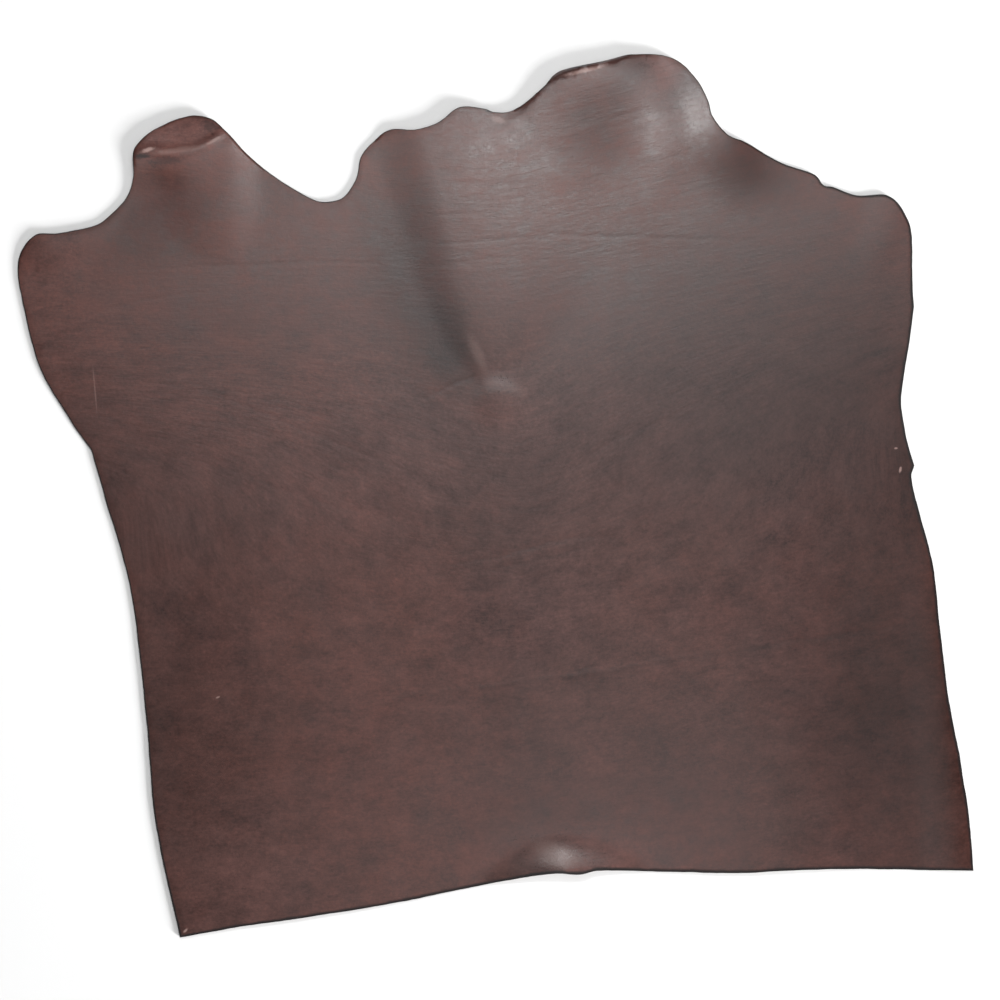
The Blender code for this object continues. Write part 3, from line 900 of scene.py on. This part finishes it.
def makeHide():
    smoothRim = linePoints(hide["rimStep"])
    middle = (smoothRim.min(axis=0) + smoothRim.max(axis=0)) / 2
    away = outwards(smoothRim)
    seeds = hide["seeds"]
    rim = smoothRim + away * waves(smoothRim, hide["waver"], seeds["waver"])[:, None]
    places = np.vstack([rim, latticePoints(rim)])
    ring = [(at, (at + 1) % len(rim)) for at in range(len(rim))]
    insideRing, sameSpot = 1, 1e-7
    spots = [Vector(place) for place in places]
    places, _, faces, *_ = delaunay_2d_cdt(spots, ring, [], insideRing, sameSpot)
    places = np.array(places)
    print(len(places), "points in the sheet")

    lift, _ = drape(places)
    toRim = rimDistance(places, rim)
    pressWidth, pressDepth = hide["pressedEdge"]
    pressed, _ = creased(places)
    gauge = hide["gauge"] + pressed + waves(places, hide["unevenness"], seeds["unevenness"])
    gauge -= pressDepth * np.clip(1 - toRim / pressWidth, 0, 1) ** 2
    step = hide["slopeStep"]
    slope = np.column_stack([
        (drape(places + (step, 0))[0] - drape(places - (step, 0))[0]) / (2 * step),
        (drape(places + (0, step))[0] - drape(places - (0, step))[0]) / (2 * step),
    ])
    upwards = np.column_stack([-slope, np.ones(len(places))])
    upwards /= np.linalg.norm(upwards, axis=1)[:, None]

    below = np.column_stack([places - middle, lift])
    above = below + upwards * gauge[:, None]
    corner = above[:len(rim)] - upwards[:len(rim)] * hide["chamfer"]
    above[:len(rim), :2] -= away * hide["chamfer"]
    points = np.vstack([above, below, corner])

    count = len(places)  # above first, then below, then the foot of the rubbed corner
    top = [tuple(face) for face in faces]
    bottom = [tuple(at + count for at in reversed(face)) for face in faces]
    chamfer = [(2 * count + a, 2 * count + b, b, a) for a, b in ring]
    wall = [(count + a, count + b, 2 * count + b, 2 * count + a) for a, b in ring]
    mesh = bpy.data.meshes.new("leather_hide")
    mesh.from_pydata(points.tolist(), [], top + bottom + chamfer + wall)
    for finish in (waxedGrain(middle), fleshSuede(), knifeCutEdge()):
        mesh.materials.append(finish)
    finishes = [0] * len(top) + [1] * len(bottom) + [0] * len(chamfer) + [2] * len(wall)
    mesh.polygons.foreach_set("material_index", finishes)
    mesh.shade_smooth()
    mesh.set_sharp_from_angle(angle=radians(hide["sharpAngle"]))

    painted = {
        "growthLine": growthLine(places),
        # the dye's tone together with painted shade and painted sheen
        "dyeAndPaintedLight": np.exp(-patchStrength(places, dyeAndPaintedLightPatches)),
        "warm": patchStrength(places, warmPatches),
        "polish": patchStrength(places, polishPatches),
        "inkAndShadeWidth": inkAndShadeWidth(places),
        "wrinkled": growth["wrinkled"] + patchStrength(places, wrinkledPatches),
        "creased": pressed / -grainLook["creaseDepth"],
        "rimDistance": toRim,
    }
    for name, values in painted.items():
        layer = mesh.attributes.new(name, "FLOAT", "POINT")
        layer.data.foreach_set("value", np.concatenate([values, values, values[:len(rim)]]))
    piece = bpy.data.objects.new("leather_hide", mesh)
    bpy.context.scene.collection.objects.link(piece)
    return piece, middle


whitePaper = {
    "colour": (0.70, 0.70, 0.70),
    "roughness": 0.9,
    "specular": 0.2,
    "reach": 8.0,  # from the middle to each side
    "drop": 0.0003,  # below the leather
}


def makeFloor():
    look = whitePaper
    finish = newMaterial("white_paper", look["colour"]).finish({
        "Base Color": (*look["colour"], 1.0),
        "Roughness": look["roughness"],
        "Specular IOR Level": look["specular"],
    })
    mesh = bpy.data.meshes.new("floor")
    sides = ((-1, -1), (1, -1), (1, 1), (-1, 1))
    corners = [(x * look["reach"], y * look["reach"], -look["drop"]) for x, y in sides]
    mesh.from_pydata(corners, [], [(0, 1, 2, 3)])
    mesh.materials.append(finish)
    floorSheet = bpy.data.objects.new("floor", mesh)
    bpy.context.scene.collection.objects.link(floorSheet)
    return floorSheet


studio = {  # place, what it points at, size across and along, watts, and whether the leather mirrors it
    "key": ((0.31, 1.30, 2.20), (0.31, 1.30, 0.0), (0.30, 0.65), 16.3, True),
    "long box": ((0.38, 1.12, 2.20), (0.38, 1.12, 0.0), (2.76, 0.40), 24.8, True),
    "butt box": ((0.20, -0.70, 2.20), (0.20, -0.70, 0.0), (0.75, 0.40), 3.0, True),
    "ceiling": ((0.22, -0.88, 2.30), (0.22, -0.88, 0.0), (2.27, 4.00), 27.4, True),
    "side": ((8.20, -8.20, 2.70), (0.0, 0.0, 0.0), (3.0, 3.0), 4500, False),
}
air = {  # the light that comes from all round, brightest at the horizon
    "overhead": 0.11,
    "horizon": 0.92,
    "fades": (0.05, 0.35),  # sines of the heights between which it dims
}


def lightStudio():
    for name, (place, aim, size, watts, mirrored) in studio.items():
        lamp = bpy.data.lights.new(name, "AREA")
        lamp.shape = "RECTANGLE"
        lamp.size, lamp.size_y = size
        lamp.energy = watts
        holder = bpy.data.objects.new(name, lamp)
        holder.location = place
        holder.rotation_euler = (Vector(aim) - Vector(place)).to_track_quat("-Z", "Y").to_euler()
        holder.visible_glossy = mirrored
        bpy.context.scene.collection.objects.link(holder)
    sky = Shader(bpy.data.worlds.new("studio"))
    direction = sky.node("ShaderNodeTexCoord", output="Generated")
    height = sky.node("ShaderNodeSeparateXYZ", None, {0: direction}, "Z")
    strength = air["overhead"] + (1 - height.ease(*air["fades"])) * air["horizon"]
    white = (1.0, 1.0, 1.0, 1.0)
    background = sky.node("ShaderNodeBackground", None, {"Color": white, "Strength": strength})
    sky.node("ShaderNodeOutputWorld", None, {"Surface": background})
    bpy.context.scene.world = sky.owner
    bpy.context.scene.view_settings.view_transform = "Standard"


viewpoint = {
    "azimuth": -5.9,  # degrees, from behind the butt cut
    "elevation": 82.0,
    "distance": 2.167,
    "lens": 60.0,  # mm
    "aim": (-0.0334, 0.4746),  # across and along
}


def setCamera(middle):
    camera = bpy.data.cameras.new("camera")
    camera.lens = viewpoint["lens"]
    holder = bpy.data.objects.new("camera", camera)
    turn, rise = radians(viewpoint["azimuth"]), radians(viewpoint["elevation"])
    back = Vector((sin(turn) * cos(rise), -cos(turn) * cos(rise), sin(rise)))
    aim = Vector((*(np.array(viewpoint["aim"]) - middle), 0.0))
    holder.location = aim + back * viewpoint["distance"]
    holder.rotation_euler = (-back).to_track_quat("-Z", "Y").to_euler()
    bpy.context.scene.collection.objects.link(holder)
    bpy.context.scene.camera = holder


piece, middle = makeHide()
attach(piece, "root")
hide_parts("hide")
print("hide made")
makeFloor()
lightStudio()
setCamera(middle)
print("floor, lights and camera set")
